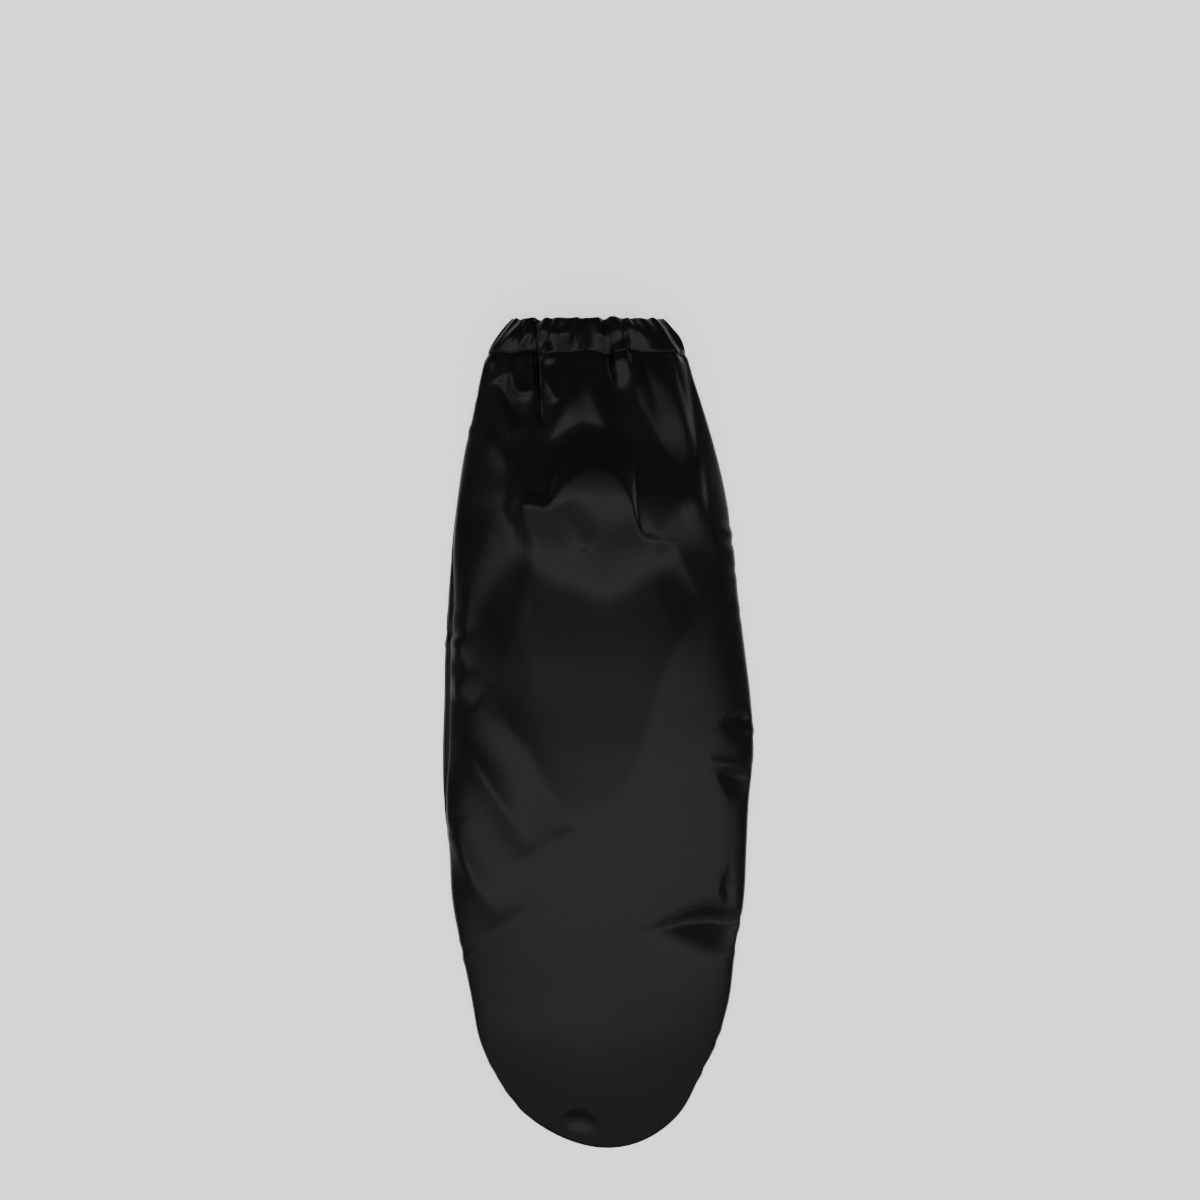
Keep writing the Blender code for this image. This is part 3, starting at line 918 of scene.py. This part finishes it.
@dataclass
class ClothPanel:
    """One of the two panels, from seam to seam, with the seam allowance turned in."""

    form: SleeveForm
    layer: Layer
    finish: SatinFinish
    columns: int
    rows: int
    tip_rows: int
    flat: tuple[float, float]
    flat_area: float
    wall: float = 0.0008
    allowance: float = 0.004
    allowance_columns: int = 4
    under_casing: float = 0.0012
    pinch: float = 0.0009
    pinch_length: float = 0.004
    row_crowding: float = 1.15

    def turns(self) -> Points:
        """Turns at equal steps of cloth round the middle section, from seam to seam."""
        fine = self.layer.first_turn + np.linspace(1e-6, 0.5 - 1e-6, 4001)
        x, z = self.form.section_place(fine, np.full_like(fine, 0.5), 0.0)
        walked = np.append(0.0, np.cumsum(np.hypot(np.diff(x), np.diff(z))))
        return np.interp(np.linspace(0, walked[-1], self.columns + 1), walked, fine)

    def places_along(self) -> Points:
        """Rows, a little closer at the casing, and at equal angles round the tip."""
        form = self.form
        first = (form.casing_depth - self.under_casing) / form.length
        last = 1 - form.round_end / form.length
        share = np.linspace(0, 1, self.rows + 1) ** self.row_crowding
        straight = first + (last - first) * share
        bend = np.sin(np.linspace(0, math.pi / 2, self.tip_rows + 1))[1:]
        return np.concatenate([straight, last + (1 - last) * bend])

    def surface(self) -> tuple[Points, Points]:
        """The panel's points and flat places, with the allowance's columns at both ends.

        The stitches pinch the cloth under the casing's edge. The allowance leaves the seam level,
        square to the seam's line seen from above.

        Returns:
            Arrays of rows x columns x 3 and rows x columns x 2.
        """
        turn, along = np.meshgrid(self.turns(), self.places_along())
        x, y, z = self.form.point(turn, along, self.wall / 2)
        pinched = self.pinch * ease(1 - self.form.past_casing(along) / self.pinch_length)
        x, z = self.form.pushed(turn, along, x, z, -pinched, 0.0)
        points = np.stack([x, y, z], axis=-1)
        steps = np.hypot(np.diff(x, axis=1), np.diff(z, axis=1))
        walked = np.concatenate([np.zeros((len(points), 1)), np.cumsum(steps, axis=1)], axis=1)
        walked -= walked[:, -1:] / 2
        flat = np.stack([walked, y], axis=-1)
        hand = 1.0 if self.layer is Layer.FRONT else -1.0
        left, left_flat = self.turned_in(points[:, 0], flat[:, 0], hand)
        right, right_flat = self.turned_in(points[:, -1], flat[:, -1], -hand)
        points = np.concatenate([left[:, ::-1], points, right], axis=1)
        return points, np.concatenate([left_flat[:, ::-1], flat, right_flat], axis=1)

    def turned_in(self, seam: Points, flat: Points, hand: float) -> tuple[Points, Points]:
        """The seam allowance: from each seam point, steps inwards at the same height.

        Args:
            seam: the seam's points from the casing to the tip.
            flat: their places on the flat cloth.
            hand: 1 for the left seam and -1 for the right one.

        Returns:
            The allowance's points and flat places, from the seam inwards.
        """
        run = np.gradient(seam[:, :2], axis=0)
        run[-1] = (hand, 0.0)
        run /= np.maximum(np.linalg.norm(run, axis=1, keepdims=True), 1e-12)
        inward = np.stack([-run[:, 1], run[:, 0], np.zeros(len(run))], axis=-1) * hand
        steps = np.linspace(0, self.allowance, self.allowance_columns + 1)[1:]
        points = seam[:, None, :] + inward[:, None, :] * steps[None, :, None]
        outwards = np.sign(flat[:, :1]) * steps
        beyond = np.stack([outwards, np.zeros_like(outwards)], axis=-1)
        return points, flat[:, None, :] + beyond

    def build(self) -> bpy.types.Object:
        """Makes the panel's mesh and gives it its wall, half to either side."""
        points, flat = self.surface()
        piece = grid_piece(f"{self.layer.node}_cloth", points, flat, wrap=False)
        weld(piece)
        wall = piece.modifiers.new("wall", "SOLIDIFY")
        wall.thickness, wall.offset = self.wall, 0.0
        return piece

    def dress(self) -> bpy.types.Object:
        """Builds the panel, gives it its finish and reports it to the frame."""
        piece = self.build()
        piece.data.materials.append(self.finish.material())
        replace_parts(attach(piece, "root"), self.layer.node)
        return piece


@dataclass
class Casing:
    """The folded hem with the elastic inside: a gathered ring round the mouth."""

    form: SleeveForm
    finish: SatinFinish
    steps: int = 640
    around: int = 30
    flat: tuple[float, float] = (0.330, 0.0215)
    scallop: float = 0.0018
    uneven: float = 0.0006
    puff: float = 0.0004
    uneven_waves: int = 17
    puff_waves: int = 15
    clearance: float = 0.0002
    flatness: float = 0.55
    fullness: float = 1.15

    def profile(self) -> tuple[Points, Points]:
        """The folded hem's section, a flat loop that is pinched at its stitches.

        Both are shares: depth is 0 at the stitches and 1 at the mouth's edge, and out is counted
        from the wall's middle.

        Returns:
            Two arrays, once round the section.
        """
        angle = np.linspace(0, 2 * np.pi, self.around, endpoint=False) + np.pi
        depth = (1 + np.cos(angle)) / 2
        depth = 1 - (1 - depth) ** self.fullness
        full = np.sqrt(np.clip(4 * depth * (1 - depth), 0, 1))
        return depth, -np.sin(angle) * (self.flatness + (1 - self.flatness) * full)

    def bulged(self, turn: Points, depth: Points) -> Points:
        """How far the front's puffs stand out, in metres: the sum of their bells."""
        across = sideways(turn) * self.form.mouth_width / 2
        up = depth * self.form.casing_depth
        total = np.zeros_like(depth)
        for bulge in BULGES:
            beside = (across - bulge.across * self.form.mouth_width / 2) / (bulge.wide * MM)
            above = (up - bulge.depth * MM) / (bulge.deep * MM)
            total = total + bulge.height * MM * np.exp(-(beside**2) - above**2)
        return total * (turn < 0.5)

    def surface(self) -> tuple[Points, Points]:
        """The ring's points and flat places: the section carried once round the mouth."""
        form = self.form
        depth, out = self.profile()
        turns = np.linspace(0, 1, self.steps, endpoint=False)
        turn, depth = np.meshgrid(turns, depth)
        out = np.broadcast_to(out[:, None], turn.shape)
        along = (1 - depth) * form.casing_depth / form.length
        x, y, z = form.point(turn, along, 0.0)
        bulge = self.puff * np.sin(np.pi * depth) * wander(turn, self.puff_waves, 3)
        thick = out * (form.casing_wall / 2 + bulge) + (out > 0) * self.bulged(turn, depth)
        dip = self.scallop * np.clip(form.gathers(turn, along), 0.0, 1.0)
        y = y - depth**2 * (dip + self.uneven * (1 + wander(turn, self.uneven_waves, 14)))
        x, z = form.pushed(turn, along, x, z, thick, self.clearance)
        points = np.stack([x, y, z], axis=-1)
        return points, np.stack([turn * self.flat[0], depth * form.casing_depth], axis=-1)

    def dress(self) -> bpy.types.Object:
        """Builds the casing, gives it its finish and reports it to the frame."""
        points, flat = (np.concatenate([grid, grid[:1]]) for grid in self.surface())
        piece = grid_piece("elastic_casing_cloth", points, flat, wrap=True)
        weld(piece)
        piece.data.materials.append(self.finish.material())
        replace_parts(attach(piece, "root"), "elastic_casing")
        return piece


@dataclass
class HemStitches:
    """The row of stitches that closes the casing: many short threads in one mesh."""

    form: SleeveForm
    count: int = 150
    thread: float = 0.00022
    sides: int = 6
    rings: int = 7
    long: float = 0.72
    arch: float = 0.0005
    dip: float = 0.0004
    beside_hem: float = 0.0005

    def surface_point(self, turn: Points, lift: Points) -> Points:
        """Points beside the casing's edge, lifted so many metres from the wall's middle."""
        along = np.full_like(turn, self.form.casing_depth / self.form.length)
        x, y, z = self.form.point(turn, along, 0.0)
        x, z = self.form.pushed(turn, along, x, z, lift, self.thread)
        return np.stack([x, y - self.beside_hem, z], axis=-1)

    def dress(self) -> bpy.types.Object:
        """Builds every stitch as a bent thread that dips into the cloth at both ends.

        A stitch's middle line is the surface line lifted by a half sine. Its section is a circle.
        """
        starts = np.arange(self.count) / self.count
        share = np.linspace(0, 1, self.rings)
        turn = starts[:, None] + ((1 - self.long) / 2 + self.long * share[None, :]) / self.count
        lift = np.broadcast_to(self.arch * np.sin(np.pi * share) - self.dip, turn.shape)
        line = self.surface_point(turn, lift)
        ahead = np.gradient(line, axis=1)
        ahead /= np.linalg.norm(ahead, axis=-1, keepdims=True)
        side = np.cross(ahead, np.array([0.0, 1.0, 0.0]))
        side /= np.linalg.norm(side, axis=-1, keepdims=True)
        up = np.cross(side, ahead)
        angle = np.linspace(0, 2 * np.pi, self.sides, endpoint=False)
        radius = self.thread * np.sqrt(np.clip(1.02 - (2 * share - 1) ** 2, 0, 1))
        ring = side[:, :, None] * np.cos(angle)[:, None] + up[:, :, None] * np.sin(angle)[:, None]
        points = line[:, :, None] + ring * radius[:, None, None]
        base = np.arange(self.count * self.rings * self.sides).reshape(points.shape[:3])
        turned = np.roll(base, -1, axis=2)
        quads = np.stack([base[:, :-1], turned[:, :-1], turned[:, 1:], base[:, 1:]], axis=-1)
        faces = quads.reshape(-1, 4).tolist()
        faces += base[:, 0, ::-1].tolist() + base[:, -1].tolist()
        piece = mesh_piece("hem_stitches", points, faces)
        weld(piece)
        piece.data.materials.append(ThreadFinish().material())
        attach(piece, "root")
        return piece


@dataclass(frozen=True)
class SoftBox:
    """One large soft light, a rectangle that faces the cap from a place on a wide dome.

    tilt is its angle off the zenith towards -Y and swing the angle towards +X, in degrees.
    tall and wide are the angles that it covers, seen from the cap, and distance is in metres.
    """

    name: str
    tilt: float
    swing: float
    tall: float
    wide: float
    radiance: float
    distance: float = 6.0

    def hang(self) -> bpy.types.Object:
        """Makes the area light at its place, turned to the cap.

        A rectangle of area A and radiance L gives out pi * A * L watts.
        """
        data = bpy.data.lights.new(self.name, "AREA")
        data.shape = "RECTANGLE"
        data.size = 2 * self.distance * math.tan(math.radians(self.wide / 2))
        data.size_y = 2 * self.distance * math.tan(math.radians(self.tall / 2))
        data.energy = math.pi * data.size * data.size_y * self.radiance
        lamp = linked(self.name, data)
        turned = Matrix.Rotation(math.radians(self.swing), 4, "Z")
        turned @= Matrix.Rotation(math.radians(self.tilt), 4, "X")
        lamp.matrix_world = turned @ Matrix.Translation((0.0, 0.0, self.distance))
        return lamp


@dataclass
class Studio:
    """The floor, the lights and the camera, which looks straight down as for a catalogue."""

    view_width: float = 0.726
    centre: tuple[float, float] = (0.0012, 0.0808)
    camera_height: float = 1.5
    floor_size: float = 40.0
    zenith: float = 0.17
    horizon: float = 0.25

    def floor(self) -> None:
        """Lays the pale floor under the cap."""
        corners = np.array([[-1, -1, 0], [1, -1, 0], [1, 1, 0], [-1, 1, 0]]) * self.floor_size / 2
        floor = mesh_piece("floor", corners, [(0, 1, 2, 3)])
        floor.data.materials.append(PaperFinish().material())

    def room(self) -> None:
        """The room's own light: dim overhead, and pale near the horizon like a sweep of paper."""
        world = bpy.data.worlds.new("room")
        world.use_nodes = True
        nodes, links = world.node_tree.nodes, world.node_tree.links
        place = nodes.new("ShaderNodeTexCoord")
        parts = nodes.new("ShaderNodeSeparateXYZ")
        ramp = nodes.new("ShaderNodeMapRange")
        ramp.interpolation_type = "SMOOTHSTEP"
        values = {"From Min": 0.05, "From Max": 0.30, "To Min": self.horizon, "To Max": self.zenith}
        for key, value in values.items():
            ramp.inputs[key].default_value = value
        links.new(place.outputs["Generated"], parts.inputs[0])
        links.new(parts.outputs["Z"], ramp.inputs["Value"])
        links.new(ramp.outputs["Result"], nodes["Background"].inputs["Strength"])
        nodes["Background"].inputs["Color"].default_value = (1.0, 1.0, 1.0, 1.0)
        bpy.context.scene.world = world

    def lights(self) -> None:
        """Hangs the soft boxes over the tip: a bright narrow one and a dimmer broad one behind."""
        boxes = (
            SoftBox("near_box", 9.8, 0.0, 13.5, 104.0, 1.95),
            SoftBox("far_box", 37.5, 0.0, 43.0, 108.0, 0.56),
        )
        for box in boxes:
            box.hang()

    def camera(self) -> None:
        """Sets the camera over the cap, the picture's top towards the mouth."""
        data = bpy.data.cameras.new("camera")
        data.sensor_width = 36.0
        data.lens = data.sensor_width * self.camera_height / self.view_width
        camera = linked("camera", data)
        camera.location = (*self.centre, self.camera_height)
        bpy.context.scene.camera = camera

    def set_up(self) -> None:
        """Makes them all."""
        self.floor()
        self.room()
        self.lights()
        self.camera()


def main() -> None:
    """Builds the studio and the cap's pieces in order, and logs each piece's face count."""
    logging.basicConfig(level=logging.INFO, format="%(name)s: %(message)s")
    Studio().set_up()
    form = SleeveForm.from_frame()
    front_finish = SatinFinish("front_satin", (0.0036, 0.0036, 0.0039), 0.29)
    back_finish = SatinFinish("back_satin", (0.0034, 0.0034, 0.0036), 0.31)
    casing_finish = SatinFinish("casing_satin", (0.0036, 0.0036, 0.0039), 0.29)
    pieces = (
        ClothPanel(form, Layer.FRONT, front_finish, 156, 214, 52, (0.212, 0.500), 0.090),
        ClothPanel(form, Layer.BACK, back_finish, 100, 120, 30, (0.200, 0.500), 0.085),
        Casing(form, casing_finish),
        HemStitches(form),
    )
    for piece in pieces:
        made = piece.dress()
        log.info("%s: %d faces", made.name, len(made.data.polygons))


if __name__ == "__main__":
    main()
